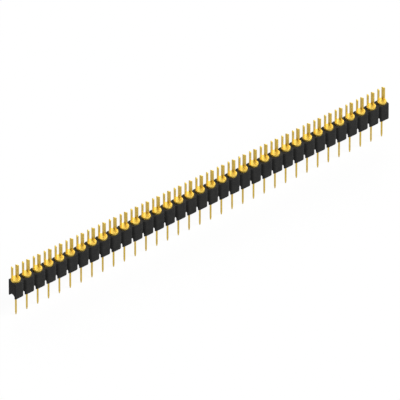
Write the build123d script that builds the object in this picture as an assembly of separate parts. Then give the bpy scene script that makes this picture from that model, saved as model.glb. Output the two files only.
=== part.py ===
"""Single-row pin header strip: turned fork contacts pressed into a moulded insulator.

The row runs along X, the feet stand on Z = 0 and the tails point down.  The origin is on
the axis of the middle tail, in the plane of the feet.  All sizes are in millimetres.
"""

import os

from build123d import *

# Row
POSITIONS = 35
PITCH = 2.54

# Insulator
BODY_WIDTH = 2.14
BODY_HEIGHT = 3.6
END_MARGIN = 0.92  # last contact's axis to the end face
GROOVE_MOUTH = 0.78
GROOVE_DEPTH = 0.38
LIP_RADIUS = 0.6  # where a groove wall meets the side face
END_CORNER_RADIUS = 0.15

# Underside: a lengthwise channel and cross slots leave two rows of feet
FOOT_THICKNESS = 0.3
CHANNEL_HEIGHT = 0.72
CHANNEL_CORNER_RADIUS = 0.4
SLOT_WIDTH = 0.36
SLOT_HEIGHT = 0.8

# Contact, from its tail up
TAIL_DIAMETER = 0.36
TAIL_LENGTH = 4.55  # below the feet, where the shank ends
TAIL_TIP_DIAMETER = 0.2
TAIL_TAPER = 0.55
SHANK_DIAMETER = 0.9
SHANK_CLEARANCE = 0.02  # between the shank and its bore, on the radius
FLANGE_DIAMETER = 1.82
FLANGE_THICKNESS = 0.45
FORK_DIAMETER = 1.74
FORK_HEIGHT = 2.75  # above the flange
FORK_FACE = 0.09  # the flat face of the fork, behind the axis
FORK_SLOT = 0.92
FORK_TIP_CHAMFER = 0.15

ROW_LENGTH = (POSITIONS - 1) * PITCH
BODY_LENGTH = ROW_LENGTH + 2 * END_MARGIN
BORE_DIAMETER = SHANK_DIAMETER + 2 * SHANK_CLEARANCE
FLANGE_TOP = BODY_HEIGHT + FLANGE_THICKNESS
CONTACT_AXES = [PITCH * i - ROW_LENGTH / 2 for i in range(POSITIONS)]
BREAK_LINES = [x + PITCH / 2 for x in CONTACT_AXES[:-1]]


def disc(diameter, bottom, height):
    """An upright cylinder on the contact's axis, from the level bottom."""
    return Pos(0, 0, bottom) * Cylinder(
        diameter / 2, height, align=(Align.CENTER, Align.CENTER, Align.MIN)
    )


def block(size_x, size_y, height, x=0, y=0, z=0):
    """An upright block centred on (x, y), from the level z."""
    return Pos(x, y, z) * Box(
        size_x, size_y, height, align=(Align.CENTER, Align.CENTER, Align.MIN)
    )


def insulator_outline():
    """The plan of the insulator, with a V groove on both sides at every break line."""
    plan = Rectangle(BODY_LENGTH, BODY_WIDTH)
    cuts = []
    for x in BREAK_LINES:
        for side in (-1, 1):
            face = side * BODY_WIDTH / 2
            root = side * (BODY_WIDTH / 2 - GROOVE_DEPTH)
            points = [(x - GROOVE_MOUTH / 2, face), (x + GROOVE_MOUTH / 2, face), (x, root)]
            cuts.append(make_face(Polyline(points, close=True)))
    plan = plan - cuts
    inside_ends = BODY_LENGTH / 2 - END_MARGIN / 2
    outside_roots = BODY_WIDTH / 2 - GROOVE_DEPTH / 2
    lips = [v for v in plan.vertices() if abs(v.X) < inside_ends and abs(v.Y) > outside_roots]
    plan = fillet(lips, LIP_RADIUS)
    corners = [v for v in plan.vertices() if abs(v.X) > inside_ends]
    return fillet(corners, END_CORNER_RADIUS)


def insulator():
    """The moulded strip: outline, underside channel, slots between the feet, bores."""
    body = extrude(insulator_outline(), BODY_HEIGHT)
    section = Rectangle(BODY_WIDTH - 2 * FOOT_THICKNESS, 2 * CHANNEL_HEIGHT)
    section = fillet(section.vertices(), CHANNEL_CORNER_RADIUS)
    channel = extrude(Plane.YZ * section, BODY_LENGTH, both=True)
    slots = [block(SLOT_WIDTH, 2 * BODY_WIDTH, SLOT_HEIGHT, x) for x in BREAK_LINES]
    bore = disc(BORE_DIAMETER, 0, BODY_HEIGHT)
    bores = [Pos(x, 0, 0) * bore for x in CONTACT_AXES]
    return body - channel - slots - bores


def fork():
    """The half-round top of a contact, slotted into two prongs."""
    prongs = disc(FORK_DIAMETER, FLANGE_TOP, FORK_HEIGHT)
    prongs = chamfer(prongs.edges().sort_by(Axis.Z)[-1], FORK_TIP_CHAMFER)
    side = 2 * FORK_DIAMETER
    front = block(side, side, FORK_HEIGHT, 0, FORK_FACE - side / 2, FLANGE_TOP)
    slot = block(FORK_SLOT, side, FORK_HEIGHT, 0, 0, FLANGE_TOP)
    return prongs - front - slot


def contact():
    """One turned contact on the Z axis: tail, shank, flange and fork in one piece."""
    taper = Pos(0, 0, -TAIL_LENGTH) * Cone(
        TAIL_TIP_DIAMETER / 2, TAIL_DIAMETER / 2, TAIL_TAPER,
        align=(Align.CENTER, Align.CENTER, Align.MIN),
    )
    tail = disc(TAIL_DIAMETER, TAIL_TAPER - TAIL_LENGTH, TAIL_LENGTH - TAIL_TAPER)
    shank = disc(SHANK_DIAMETER, 0, BODY_HEIGHT)
    flange = disc(FLANGE_DIAMETER, BODY_HEIGHT, FLANGE_THICKNESS)
    return taper + tail + shank + flange + fork()


os.makedirs("parts", exist_ok=True)
export_step(insulator(), "parts/insulator_body.step")
turned_contact = contact()
for number, x in enumerate(CONTACT_AXES, start=1):
    export_step(Pos(x, 0, 0) * turned_contact, f"parts/contact_{number:02d}.step")
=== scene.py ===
# %% [markdown]
# # A pin header strip
# A strip like this joins wires or plug-in parts to a circuit board.  Its contacts are turned
# from brass rod on an automatic lathe, gold plated, and pressed into a moulded black bar.
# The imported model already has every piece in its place, so the lesson starts from it and
# gives each piece a finer mesh, softer edges and its finish.

# %% Load the frame
import math

import bmesh
import bpy
from mathutils import Matrix, Vector


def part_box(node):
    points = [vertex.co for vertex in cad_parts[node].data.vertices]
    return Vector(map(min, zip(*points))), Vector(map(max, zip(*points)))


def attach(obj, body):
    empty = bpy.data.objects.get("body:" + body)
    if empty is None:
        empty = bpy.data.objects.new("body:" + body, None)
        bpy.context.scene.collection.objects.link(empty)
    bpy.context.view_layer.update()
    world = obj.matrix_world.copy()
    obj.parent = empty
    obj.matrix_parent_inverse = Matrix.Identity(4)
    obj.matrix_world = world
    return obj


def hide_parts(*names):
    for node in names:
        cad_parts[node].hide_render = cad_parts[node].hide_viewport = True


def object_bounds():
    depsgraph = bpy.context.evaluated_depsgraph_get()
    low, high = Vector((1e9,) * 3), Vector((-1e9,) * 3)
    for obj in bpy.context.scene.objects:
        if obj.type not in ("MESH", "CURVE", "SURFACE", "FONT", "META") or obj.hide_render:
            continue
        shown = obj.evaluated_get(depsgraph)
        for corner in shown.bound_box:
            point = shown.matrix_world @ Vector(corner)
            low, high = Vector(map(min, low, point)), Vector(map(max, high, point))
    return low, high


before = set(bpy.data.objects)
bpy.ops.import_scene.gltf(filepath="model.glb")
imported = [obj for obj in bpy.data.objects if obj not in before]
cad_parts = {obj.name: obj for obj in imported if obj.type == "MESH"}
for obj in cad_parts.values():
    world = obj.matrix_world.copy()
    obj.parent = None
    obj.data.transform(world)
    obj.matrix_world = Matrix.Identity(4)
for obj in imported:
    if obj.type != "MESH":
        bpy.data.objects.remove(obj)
cad_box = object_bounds()
print("nodes:", len(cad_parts), "box:", cad_box)

# %% [markdown]
# Blender works in metres and a connector is drawn in millimetres, so one value converts.
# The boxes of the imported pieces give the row: where each contact's axis stands, and how high
# the insulator, the forks and the tails reach.  Nothing is placed by eye.

# %% The row, from the frame
MM = 0.001
CONTACTS = sorted(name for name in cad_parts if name.startswith("contact_"))
BODY_LOW, BODY_HIGH = (Vector(corner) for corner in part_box("insulator_body"))
FIRST_LOW, FIRST_HIGH = (Vector(corner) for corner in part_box(CONTACTS[0]))
AXES = [(low[0] + high[0]) / 2 for low, high in map(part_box, CONTACTS)]
PITCH = (AXES[-1] - AXES[0]) / (len(AXES) - 1)
TAIL_TIP = FIRST_LOW.z
FORK_TIP = FIRST_HIGH.z
FLANGE_RADIUS = (FIRST_HIGH.x - FIRST_LOW.x) / 2  # the flange is a contact's widest part
print(f"{len(AXES)} contacts, pitch {PITCH / MM:.3f} mm, length {(BODY_HIGH.x - BODY_LOW.x) / MM:.1f} mm")

# %% [markdown]
# A long thin part is best shown from far away with a very long lens, so that the row keeps an
# even pitch from one end to the other.  The camera looks along the row from its left front,
# and down on it.

# %% Camera
VIEW_AZIMUTH = math.radians(-37.6)
VIEW_ELEVATION = math.radians(39.1)
VIEW_WIDTH = 74.8 * MM
LENS_MM = 1650.0
SENSOR_MM = 36.0
AIM_RIGHT = 0.03 * MM  # how far the view's centre lies from the middle of the strip
AIM_UP = 0.20 * MM

back = Vector((
    math.sin(VIEW_AZIMUTH) * math.cos(VIEW_ELEVATION),
    -math.cos(VIEW_AZIMUTH) * math.cos(VIEW_ELEVATION),
    math.sin(VIEW_ELEVATION),
))
right = Vector((math.cos(VIEW_AZIMUTH), math.sin(VIEW_AZIMUTH), 0.0))
up = back.cross(right)
middle = (Vector(cad_box[0]) + Vector(cad_box[1])) / 2
aim = middle + right * AIM_RIGHT + up * AIM_UP
distance = VIEW_WIDTH * LENS_MM / SENSOR_MM

camera_data = bpy.data.cameras.new("long_lens")
camera_data.lens = LENS_MM
camera_data.sensor_width = SENSOR_MM
camera = bpy.data.objects.new("camera", camera_data)
camera.location = aim + back * distance
camera.rotation_euler = back.to_track_quat("Z", "Y").to_euler()
bpy.context.scene.collection.objects.link(camera)
bpy.context.scene.camera = camera
bpy.context.scene.view_settings.view_transform = "Standard"
print(f"camera {distance:.2f} m away")

# %% [markdown]
# Colours are written as sRGB hex, as a paint chart gives them.  Blender's sockets want linear
# light, so one function turns one into the other.  A second one adds a shader node with its
# settings and links, and every material below is made with these two.

# %% Colour and node helpers


def linear(hex_code):
    """An sRGB hex colour as linear RGBA."""
    values = [int(hex_code[i:i + 2], 16) / 255 for i in (1, 3, 5)]
    return [v / 12.92 if v <= 0.04045 else ((v + 0.055) / 1.055) ** 2.4 for v in values] + [1.0]


def add(tree, kind, inputs=None, **settings):
    """Add a node; an input is a number, a colour or another node's output socket."""
    node = tree.nodes.new(kind)
    for name, value in settings.items():
        setattr(node, name, value)
    for name, value in (inputs or {}).items():
        if isinstance(value, bpy.types.NodeSocket):
            tree.links.new(value, node.inputs[name])
        else:
            node.inputs[name].default_value = value
    return node


def new_material(name):
    """A material with an empty node tree and its output node."""
    material = bpy.data.materials.new(name)
    material.use_nodes = True
    material.node_tree.nodes.clear()
    return material, material.node_tree, add(material.node_tree, "ShaderNodeOutputMaterial")


print("mid grey:", [round(v, 3) for v in linear("#808080")])

# %% [markdown]
# The strip stands on a pale table under a pale sky.  The background is white to the camera
# and in reflections only: Light Path tells those rays apart, so the white does not come from
# more light on the strip, and the table still takes its shadow.  The paint under that white is
# a mid grey, because the light that a white table throws back up would fill the grooves.

# %% Sky and table
SKY_LIGHT = 0.24
TABLE_GLOW = 0.75  # share of the table's white that no shadow dims
TABLE_WHITE = 1.25  # strength of that share, so that it and the lit paint add up to 1
TABLE_SIZE = 1.2


def white_to_the_eye(tree):
    """1 for the rays that show a background: camera, glossy and transmission rays."""
    path = add(tree, "ShaderNodeLightPath")
    seen = add(tree, "ShaderNodeMath", {0: path.outputs["Is Camera Ray"],
                                        1: path.outputs["Is Glossy Ray"]}, operation="MAXIMUM")
    return add(tree, "ShaderNodeMath", {0: seen.outputs[0],
                                        1: path.outputs["Is Transmission Ray"]}, operation="MAXIMUM")


world = bpy.data.worlds.new("pale_sky")
world.use_nodes = True
bpy.context.scene.world = world
sky = world.node_tree
sky.nodes.clear()
sky_strength = add(sky, "ShaderNodeMapRange", {0: white_to_the_eye(sky).outputs[0],
                                               3: SKY_LIGHT, 4: 1.0})
sky_shade = add(sky, "ShaderNodeBackground", {"Color": linear("#FFFFFF"),
                                              "Strength": sky_strength.outputs[0]})
add(sky, "ShaderNodeOutputWorld", {"Surface": sky_shade.outputs[0]})

table_finish, tree, output = new_material("pale_painted_table")
glow = add(tree, "ShaderNodeMath", {0: white_to_the_eye(tree).outputs[0], 1: TABLE_GLOW},
           operation="MULTIPLY")
paint = add(tree, "ShaderNodeBsdfDiffuse", {"Color": linear("#8C8C8C")})
white = add(tree, "ShaderNodeEmission", {"Color": linear("#FFFFFF"), "Strength": TABLE_WHITE})
mixed = add(tree, "ShaderNodeMixShader", {0: glow.outputs[0], 1: paint.outputs[0],
                                          2: white.outputs[0]})
tree.links.new(mixed.outputs[0], output.inputs["Surface"])

table_mesh = bpy.data.meshes.new("table")
half = TABLE_SIZE / 2
table_corners = [(-half, -half, TAIL_TIP), (half, -half, TAIL_TIP), (half, half, TAIL_TIP),
                 (-half, half, TAIL_TIP)]
table_mesh.from_pydata(table_corners, [], [(0, 1, 2, 3)])
table_mesh.materials.append(table_finish)
table = bpy.data.objects.new("table", table_mesh)
bpy.context.scene.collection.objects.link(table)
print(f"table at z = {TAIL_TIP / MM:.2f} mm")

# %% [markdown]
# Two soft lamps are enough.  The main one stands at the right front, high up, so the front
# faces are clear and the left walls of the grooves fall dark.  The weaker one stands behind
# and puts light on the flat tops of the flanges, which mirror that part of the room.

# %% Lamps


def soft_sun(name, towards, strength, softness):
    """A distant lamp; towards points from the strip to the lamp."""
    data = bpy.data.lights.new(name, "SUN")
    data.energy = strength
    data.angle = math.radians(softness)
    lamp = bpy.data.objects.new(name, data)
    lamp.rotation_euler = Vector(towards).to_track_quat("Z", "Y").to_euler()
    bpy.context.scene.collection.objects.link(lamp)
    return lamp


soft_sun("main_lamp", (0.46, -0.54, 0.70), 2.4, 40.0)
soft_sun("back_lamp", (0.47, 0.62, 0.63), 1.0, 40.0)

# %% [markdown]
# The insulator is a polyester filled with short glass fibre, injection moulded in black.  The
# mould is finely spark-eroded, so the skin is matt with a faint grain, and the fibre leaves it
# slightly mottled.  A matt skin needs a high roughness and a weak reflection.  The real grain
# is about 0.02 mm across, too fine to show, so it is drawn coarser.

# %% Glass-filled polyester, moulded black
GRAIN_MM = 0.09
GRAIN_DEPTH_MM = 0.02
MOTTLE_MM = 0.7
SKIN_ROUGHNESS = (0.5, 0.68)
SKIN_REFLECTION = 0.06  # weak, because the spark-eroded skin scatters what it mirrors
NOISE_LOW = 0.3  # most of a noise texture's values lie between these two
NOISE_HIGH = 0.7


def per_metre(size_mm):
    """The texture scale that repeats once in size_mm."""
    return 1 / (size_mm * MM)


def moulded_polyester():
    """Matt black skin: mottled by the glass fibre, grained by the mould."""
    material, tree, output = new_material("moulded_black_glass_filled_polyester")
    place = add(tree, "ShaderNodeTexCoord").outputs["Object"]
    mottle = add(tree, "ShaderNodeTexNoise", {"Vector": place, "Scale": per_metre(MOTTLE_MM),
                                              "Detail": 3.0})
    colour = add(tree, "ShaderNodeValToRGB", {0: mottle.outputs[0]})
    colour.color_ramp.elements[0].position = NOISE_LOW
    colour.color_ramp.elements[0].color = linear("#303030")
    colour.color_ramp.elements[1].position = NOISE_HIGH
    colour.color_ramp.elements[1].color = linear("#393938")
    grain = add(tree, "ShaderNodeTexNoise", {"Vector": place, "Scale": per_metre(GRAIN_MM),
                                             "Detail": 4.0})
    rough = add(tree, "ShaderNodeMapRange", {0: grain.outputs[0], 3: SKIN_ROUGHNESS[0],
                                             4: SKIN_ROUGHNESS[1]})
    bump = add(tree, "ShaderNodeBump", {"Height": grain.outputs[0], "Strength": 0.35,
                                        "Distance": GRAIN_DEPTH_MM * MM})
    skin = add(tree, "ShaderNodeBsdfPrincipled", {
        "Base Color": colour.outputs[0], "Roughness": rough.outputs[0],
        "Normal": bump.outputs[0], "IOR": 1.5, "Specular IOR Level": SKIN_REFLECTION})
    tree.links.new(skin.outputs[0], output.inputs["Surface"])
    return material


BLACK_POLYESTER = moulded_polyester()
print(BLACK_POLYESTER.name, "grain scale", round(per_metre(GRAIN_MM)))

# %% [markdown]
# The contacts are turned brass with a thin gold plate.  Plating copies the metal under it, so
# the fine rings that the turning tool leaves still show: round the sides, and as circles on
# the flat faces.  Gold is a metal, so its colour is the colour of its reflection.  Rings of
# the real feed, about 0.03 mm, are too fine to show and are drawn coarser.  One material
# serves the whole row: X is folded by the pitch, which gives each contact rings of its own.

# %% Gold-plated turned brass
FEED_MM = 0.14
RING_DEPTH_MM = 0.004
PLATE_MM = 0.9  # how far apart the slightly duller patches of plate lie
PLATE_ROUGHNESS = (0.46, 0.56)


def gold_plate():
    """Gold with turning rings about each contact's axis and slightly uneven plate."""
    material, tree, output = new_material("gold_plated_turned_brass")
    place = add(tree, "ShaderNodeTexCoord").outputs["Object"]
    part = add(tree, "ShaderNodeSeparateXYZ", {0: place})
    from_first = add(tree, "ShaderNodeMath", {0: part.outputs["X"], 1: AXES[0] - PITCH / 2},
                     operation="SUBTRACT")
    within = add(tree, "ShaderNodeMath", {0: from_first.outputs[0], 1: PITCH},
                 operation="FLOORED_MODULO")
    off_axis = add(tree, "ShaderNodeMath", {0: within.outputs[0], 1: PITCH / 2},
                   operation="SUBTRACT")
    flat = add(tree, "ShaderNodeCombineXYZ", {0: off_axis.outputs[0], 1: part.outputs["Y"]})
    radius = add(tree, "ShaderNodeVectorMath", {0: flat.outputs[0]}, operation="LENGTH")
    travel = add(tree, "ShaderNodeMath", {0: radius.outputs["Value"], 1: part.outputs["Z"]},
                 operation="ADD")
    turns = add(tree, "ShaderNodeMath", {0: travel.outputs[0], 1: 2 * math.pi * per_metre(FEED_MM)},
                operation="MULTIPLY")
    rings = add(tree, "ShaderNodeMath", {0: turns.outputs[0]}, operation="SINE")
    plate = add(tree, "ShaderNodeTexNoise", {"Vector": place, "Scale": per_metre(PLATE_MM),
                                             "Detail": 3.0})
    colour = add(tree, "ShaderNodeValToRGB", {0: plate.outputs[0]})
    colour.color_ramp.elements[0].position = NOISE_LOW
    colour.color_ramp.elements[0].color = linear("#C7AA4B")
    colour.color_ramp.elements[1].position = NOISE_HIGH
    colour.color_ramp.elements[1].color = linear("#D6BB5D")
    rough = add(tree, "ShaderNodeMapRange", {0: plate.outputs[0], 3: PLATE_ROUGHNESS[0],
                                             4: PLATE_ROUGHNESS[1]})
    bump = add(tree, "ShaderNodeBump", {"Height": rings.outputs[0], "Strength": 0.3,
                                        "Distance": RING_DEPTH_MM * MM})
    skin = add(tree, "ShaderNodeBsdfPrincipled", {
        "Base Color": colour.outputs[0], "Metallic": 1.0, "Roughness": rough.outputs[0],
        "Normal": bump.outputs[0]})
    tree.links.new(skin.outputs[0], output.inputs["Surface"])
    return material


GOLD_PLATE = gold_plate()
print(GOLD_PLATE.name, "rings every", FEED_MM, "mm")

# %% [markdown]
# Every solid here is a stack of outlines with equally many points.  Two equal outlines make a
# bar, and circles of changing radius make a turned part.  An outline is given by its corners,
# each with the radius that rounds it, as on a workshop drawing.

# %% Outlines and solids
ARC_STEPS = 6  # for a rounded corner
ROUND_STEPS = 48  # for a full circle


def arc(radius, start, end, steps):
    """Points on an arc about the axis, from one angle to another."""
    angles = [start + (end - start) * k / steps for k in range(steps + 1)]
    return [(radius * math.cos(t), radius * math.sin(t)) for t in angles]


def circle(radius):
    """The points of a full circle about the axis."""
    return arc(radius, 0.0, 2 * math.pi, ROUND_STEPS)[:-1]


def rounded(corners):
    """An outline from (x, y, radius) corners, with an arc at each that has a radius."""
    points = []
    for i, (x, y, radius) in enumerate(corners):
        corner = Vector((x, y))
        if radius == 0.0:
            points.append((x, y))
            continue
        before = (Vector(corners[i - 1][:2]) - corner).normalized()
        after = (Vector(corners[(i + 1) % len(corners)][:2]) - corner).normalized()
        half_angle = before.angle(after) / 2
        centre = corner + (before + after).normalized() * radius / math.sin(half_angle)
        start = corner + before * radius / math.tan(half_angle) - centre
        turn = start.angle_signed(corner + after * radius / math.tan(half_angle) - centre)
        for step in range(ARC_STEPS + 1):
            spin = Matrix.Rotation(-turn * step / ARC_STEPS, 2)
            points.append(tuple(centre + spin @ start))
    return points


def stacked(bm, outlines, to_space=lambda a, b, level: (a, b, level)):
    """Add a solid through (points, level) outlines; to_space gives each point its place."""
    rings = [[bm.verts.new(to_space(a, b, level)) for a, b in points] for points, level in outlines]
    count = len(rings[0])
    bm.faces.new(rings[0])
    bm.faces.new(rings[-1])
    for lower, upper in zip(rings, rings[1:]):
        for i in range(count):
            j = (i + 1) % count
            bm.faces.new((lower[i], lower[j], upper[j], upper[i]))


def as_object(name, bm):
    """Wrap a bmesh in an object at the origin."""
    bmesh.ops.recalc_face_normals(bm, faces=bm.faces)
    mesh = bpy.data.meshes.new(name)
    bm.to_mesh(mesh)
    bm.free()
    piece = bpy.data.objects.new(name, mesh)
    bpy.context.scene.collection.objects.link(piece)
    return piece


print("arc steps:", ARC_STEPS, "of a corner,", ROUND_STEPS, "of a circle")

# %% [markdown]
# Modifiers do the shop work: one joins two solids or cuts one with the other, one breaks the
# sharp edges, and one keeps the flat faces flat under smooth shading.  Each is applied at
# once, so that what is left is a plain mesh.  A closed mesh has no open edges, and a clean one
# has no empty faces, so the last helper counts both.

# %% Joining, edges and shading
EDGE_STEPS = 2  # for a broken edge
SHARP_EDGE = math.radians(32)  # an edge that turns more than this is broken
SHARP_SHADE = math.radians(45)  # and one that turns more than this keeps its crease
NO_AREA = 1e-16  # square metres


def settle(piece):
    """Replace an object's mesh by what its modifiers make, and drop them."""
    evaluated = piece.evaluated_get(bpy.context.evaluated_depsgraph_get())
    mesh = bpy.data.meshes.new_from_object(evaluated)
    piece.modifiers.clear()
    piece.data = mesh


def combine(piece, other, operation):
    """Join another solid to a piece, or cut it away, and drop the other."""
    boolean = piece.modifiers.new("combine", "BOOLEAN")
    boolean.operation = operation
    boolean.solver = "EXACT"
    boolean.object = other
    settle(piece)
    bpy.data.objects.remove(other)


def break_edges(piece, width):
    """Round the sharp edges of a piece over a small width."""
    bevel = piece.modifiers.new("edges", "BEVEL")
    bevel.width = width
    bevel.segments = EDGE_STEPS
    bevel.limit_method = "ANGLE"
    bevel.angle_limit = SHARP_EDGE
    settle(piece)


def shade(piece, material):
    """Shade round stretches smooth and flat faces flat, and give the finish."""
    piece.data.shade_smooth()
    piece.data.set_sharp_from_angle(angle=SHARP_SHADE)
    flats = piece.modifiers.new("flats", "WEIGHTED_NORMAL")
    flats.keep_sharp = True
    settle(piece)
    piece.data.materials.clear()
    piece.data.materials.append(material)


def faults(piece):
    """The edges that don't join two faces, and the faces with no area."""
    bm = bmesh.new()
    bm.from_mesh(piece.data)
    loose = sum(1 for edge in bm.edges if not edge.is_manifold)
    empty = sum(1 for face in bm.faces if face.calc_area() < NO_AREA)
    bm.free()
    return f"{loose} open edges, {empty} empty faces"


print("edges that turn more than", round(math.degrees(SHARP_EDGE)), "degrees are broken")

# %% [markdown]
# The insulator is one long moulding.  A V groove on both sides marks each place where the
# strip can be snapped, and the lips of the grooves are rounded.  Underneath, a channel runs
# the whole length and cross slots leave two rows of feet, which hold the bar off the board so
# that flux can be washed out.  It is made as a bar of its own outline, from which the channel,
# the slots and the bores are cut, so each of them is where one value says.

# %% Insulator
GROOVE_MOUTH = 0.78 * MM
GROOVE_DEPTH = 0.38 * MM
LIP_RADIUS = 0.6 * MM  # where a groove's wall meets the side
END_RADIUS = 0.15 * MM  # of the four upright corners
FOOT_THICKNESS = 0.3 * MM
CHANNEL_HEIGHT = 0.72 * MM
CHANNEL_RADIUS = 0.4 * MM
SLOT_WIDTH = 0.36 * MM
SLOT_HEIGHT = 0.8 * MM
BORE_RADIUS = 0.47 * MM
MOULD_EDGE = 0.035 * MM  # how far the mould rounds every other edge
BREAK_LINES = [x + PITCH / 2 for x in AXES[:-1]]
BELOW = -1.0 * MM  # cutters start this far under the feet


def side_corners(face, root):
    """The corners of one side face, from left to right."""
    corners = [(BODY_LOW.x, face, END_RADIUS)]
    for x in BREAK_LINES:
        corners.append((x - GROOVE_MOUTH / 2, face, LIP_RADIUS))
        corners.append((x, root, 0.0))
        corners.append((x + GROOVE_MOUTH / 2, face, LIP_RADIUS))
    corners.append((BODY_HIGH.x, face, END_RADIUS))
    return corners


def rectangle(x_low, x_high, y_low, y_high):
    """The four corners of a rectangle, as an outline."""
    return [(x_low, y_low), (x_high, y_low), (x_high, y_high), (x_low, y_high)]


def insulator():
    """The bar, with its channel, slots and bores cut and its edges broken."""
    front = side_corners(BODY_LOW.y, BODY_LOW.y + GROOVE_DEPTH)
    rear = side_corners(BODY_HIGH.y, BODY_HIGH.y - GROOVE_DEPTH)[::-1]
    outline = rounded(front + rear)
    blank = bmesh.new()
    stacked(blank, [(outline, 0.0), (outline, BODY_HIGH.z)])
    piece = as_object("moulded_insulator", blank)

    inner = BODY_HIGH.y - FOOT_THICKNESS
    section = rounded([
        (-inner, BELOW, 0.0),
        (inner, BELOW, 0.0),
        (inner, CHANNEL_HEIGHT, CHANNEL_RADIUS),
        (-inner, CHANNEL_HEIGHT, CHANNEL_RADIUS),
    ])
    channel = bmesh.new()
    ends = [(section, BODY_LOW.x - PITCH), (section, BODY_HIGH.x + PITCH)]
    stacked(channel, ends, lambda y, z, x: (x, y, z))
    combine(piece, as_object("channel", channel), "DIFFERENCE")

    slots = bmesh.new()
    for x in BREAK_LINES:
        slot = rectangle(x - SLOT_WIDTH / 2, x + SLOT_WIDTH / 2, 2 * BODY_LOW.y, 2 * BODY_HIGH.y)
        stacked(slots, [(slot, BELOW), (slot, SLOT_HEIGHT)])
    combine(piece, as_object("slots", slots), "DIFFERENCE")

    bores = bmesh.new()
    for x in AXES:
        bore = [(x + a, b) for a, b in circle(BORE_RADIUS)]
        stacked(bores, [(bore, BELOW), (bore, 2 * BODY_HIGH.z)])
    combine(piece, as_object("bores", bores), "DIFFERENCE")

    break_edges(piece, MOULD_EDGE)
    shade(piece, BLACK_POLYESTER)
    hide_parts("insulator_body")
    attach(piece, "root")
    return piece


body = insulator()
print(body.name, len(body.data.polygons), "faces,", faults(body))

# %% [markdown]
# A contact starts on the lathe, as a tail, a shank, a flange and a round head.  Here the first
# three are one stack of circles, whose radii follow a profile with its edges already broken.

# %% Tail, shank and flange
TAIL_RADIUS = 0.18 * MM
TAIL_END_RADIUS = 0.1 * MM
TAIL_TAPER = 0.55 * MM
SHANK_RADIUS = 0.45 * MM
FLANGE_THICKNESS = 0.45 * MM
FLANGE_TOP = BODY_HIGH.z + FLANGE_THICKNESS
TURNED_EDGE = 0.025 * MM  # how far the tool breaks an edge


def turned_part():
    """Tail, shank and flange, from the tail's tip up to the middle of the flange's top."""
    profile = rounded([
        (0.0, TAIL_TIP, 0.0),
        (TAIL_END_RADIUS, TAIL_TIP, TURNED_EDGE),
        (TAIL_RADIUS, TAIL_TIP + TAIL_TAPER, 0.0),
        (TAIL_RADIUS, 0.0, 0.0),
        (SHANK_RADIUS, 0.0, TURNED_EDGE),
        (SHANK_RADIUS, BODY_HIGH.z, 0.0),
        (FLANGE_RADIUS, BODY_HIGH.z, TURNED_EDGE),
        (FLANGE_RADIUS, FLANGE_TOP, TURNED_EDGE),
        (0.0, FLANGE_TOP, 0.0),
    ])
    bm = bmesh.new()
    stacked(bm, [(circle(radius), z) for radius, z in profile[1:-1]])
    return as_object("contact_pattern", bm)


pattern = turned_part()
print("turned part:", len(pattern.data.polygons), "faces")

# %% [markdown]
# The round head is then milled: half of it away to a flat face, and a slot through the rest,
# which leaves two prongs to lay a wire between.  Here each prong is a stack of its own
# outline.  Its edges are broken before it is joined to the flange, because the strip of
# flange left outside it is too narrow for that afterwards.

# %% Prongs
FORK_RADIUS = 0.87 * MM
FORK_FACE = 0.09 * MM  # from the axis back to the flat face
FORK_SLOT = 0.92 * MM
TIP_CHAMFER = 0.15 * MM
PRONG_STEPS = 8
PRONG_ROOT = 0.05 * MM  # how far a prong is sunk in the flange before they are joined


def prong_outline(radius, side):
    """The plan of one prong: its arc, and the corner between the slot and the flat face."""
    first = math.asin(FORK_FACE / radius)
    last = math.acos(FORK_SLOT / 2 / radius)
    points = arc(radius, first, last, PRONG_STEPS) + [(FORK_SLOT / 2, FORK_FACE)]
    return [(side * x, y) for x, y in points]


def prong(side):
    """One prong, from inside the flange to the chamfered tip, with its edges broken."""
    bm = bmesh.new()
    levels = [
        (FORK_RADIUS, FLANGE_TOP - PRONG_ROOT),
        (FORK_RADIUS, FORK_TIP - TIP_CHAMFER),
        (FORK_RADIUS - TIP_CHAMFER, FORK_TIP),
    ]
    stacked(bm, [(prong_outline(radius, side), z) for radius, z in levels])
    piece = as_object("prong", bm)
    break_edges(piece, TURNED_EDGE)
    return piece


for side in (-1, 1):
    combine(pattern, prong(side), "UNION")
shade(pattern, GOLD_PLATE)
print("one contact:", len(pattern.data.polygons), "faces,", faults(pattern))

# %% [markdown]
# Every contact is the same, so one is made and copied along the row.  A piece's place is in
# its mesh, so each copy is shifted there and its object stays at the origin.

# %% The row of contacts
for name, x in zip(CONTACTS, AXES):
    mesh = pattern.data.copy()
    mesh.transform(Matrix.Translation((x, 0, 0)))
    pin = bpy.data.objects.new("turned_" + name, mesh)
    bpy.context.scene.collection.objects.link(pin)
    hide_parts(name)
    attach(pin, "root")
bpy.data.objects.remove(pattern)
print(len(CONTACTS), "contacts placed")
